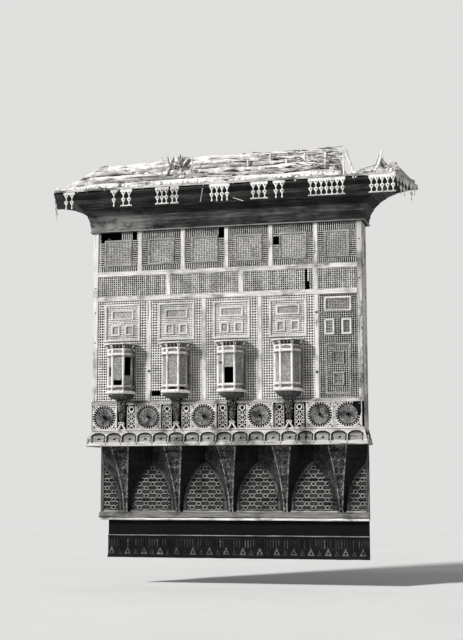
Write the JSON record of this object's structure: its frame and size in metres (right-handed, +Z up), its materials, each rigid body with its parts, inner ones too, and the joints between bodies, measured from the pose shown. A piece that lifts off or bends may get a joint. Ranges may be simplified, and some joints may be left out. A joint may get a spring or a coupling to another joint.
{
  "type": "mashrabiya oriel window",
  "caption": "Projecting timber window screen with turned lattices, small oriels, rosette band, scalloped skirt, carved brackets on an arched panel, and a coved, splayed roof",
  "frame": {"origin": "on the flat wall face, at the middle of the width, level with the floor of the bay", "axes": "+Z up, +Y from the front into the wall, +X to the right seen from the front"},
  "size_m": [6.54, 1.105, 6.965],
  "materials": {
    "lattice_wood": "weathered, dry",
    "oriel_wood": "weathered, dry",
    "bracket_wood": "dark, sooty",
    "carved_wood": "weathered, carved",
    "roof_daub": "rough, dusty",
    "pole_wood": "bleached",
    "fringe_wood": "bleached",
    "cornice_wood": "dark, weathered",
    "frame_wood": "bleached, split",
    "hidden_timber": "rough sawn"
  },
  "bodies": {
    "root": {"arched_panel": "carved_wood", "bracket_1": "bracket_wood", "bracket_2": "bracket_wood", "bracket_3": "bracket_wood", "bracket_4": "bracket_wood", "bracket_5": "bracket_wood", "carved_fascia": "carved_wood", "ceiling_boards": "hidden_timber", "corner_post_left": "frame_wood", "corner_post_right": "frame_wood", "cornice_front": "cornice_wood", "cornice_left": "cornice_wood", "cornice_right": "cornice_wood", "eave_fringe": "fringe_wood", "floor_boards": "hidden_timber", "floor_joists": "hidden_timber", "front_beam": "hidden_timber", "head_rail": "frame_wood", "ledge": "cornice_wood", "lower_rail": "frame_wood", "main_lattice_1": "lattice_wood", "main_lattice_2": "lattice_wood", "main_lattice_3": "lattice_wood", "main_lattice_4": "lattice_wood", "main_mullions": "frame_wood", "middle_lattices": "lattice_wood", "middle_mullions": "frame_wood", "narrow_lattice": "lattice_wood", "oriel_1": "oriel_wood", "oriel_2": "oriel_wood", "oriel_3": "oriel_wood", "oriel_4": "oriel_wood", "oriel_cornices": "oriel_wood", "oriel_pendants": "oriel_wood", "recess_board": "cornice_wood", "roof_deck": "hidden_timber", "roof_fill": "roof_daub", "roof_poles": "pole_wood", "roof_studs": "hidden_timber", "roof_wall_plate": "hidden_timber", "rosette_band": "carved_wood", "scalloped_skirt": "carved_wood", "side_bands": "carved_wood", "side_head_rails": "frame_wood", "side_lattices_left": "lattice_wood", "side_lattices_right": "lattice_wood", "side_sills": "frame_wood", "sill": "frame_wood", "upper_lattices": "lattice_wood", "upper_mullions": "frame_wood", "upper_rail": "frame_wood", "wall_beam": "hidden_timber", "wall_posts": "frame_wood"}
  },
  "joints": []
}
